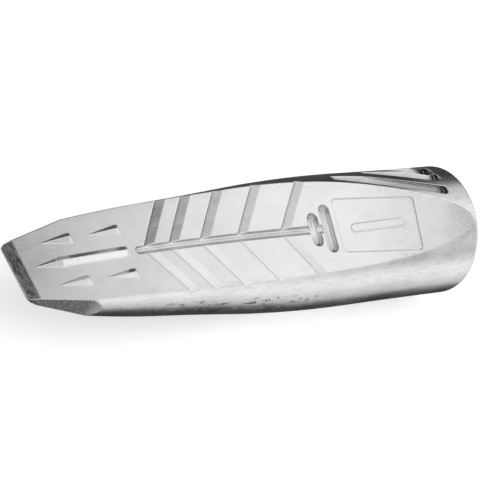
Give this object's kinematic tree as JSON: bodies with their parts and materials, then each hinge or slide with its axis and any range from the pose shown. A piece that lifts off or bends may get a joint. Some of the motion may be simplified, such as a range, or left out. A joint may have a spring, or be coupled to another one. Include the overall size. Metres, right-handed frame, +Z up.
{
  "type": "twisted splitting wedge",
  "caption": "Aluminium log-splitting wedge with twisted barbed faces, a round hollow head and a replaceable hardwood striking insert bound by a steel ring.",
  "frame": {"origin": "middle of the cutting edge", "axes": "+X from the cutting edge to the striking head along the wedge's axis, +Y along the cutting edge, +Z up with the wedge on its side"},
  "size_m": [0.221, 0.0556, 0.0556],
  "materials": {
    "forged_aluminium": "satin forged and tumbled",
    "hardwood": "turned and oiled",
    "ring_steel": "bright turned"
  },
  "bodies": {
    "wedge": {"wedge_body": "forged_aluminium"},
    "insert": {"hardwood_insert": "hardwood", "steel_ring": "ring_steel"}
  },
  "joints": [
    {"name": "insert_lift_out", "type": "slide", "parent": "wedge", "child": "insert", "axis": [1, 0, 0], "range_m": [0, 0.07]}
  ]
}
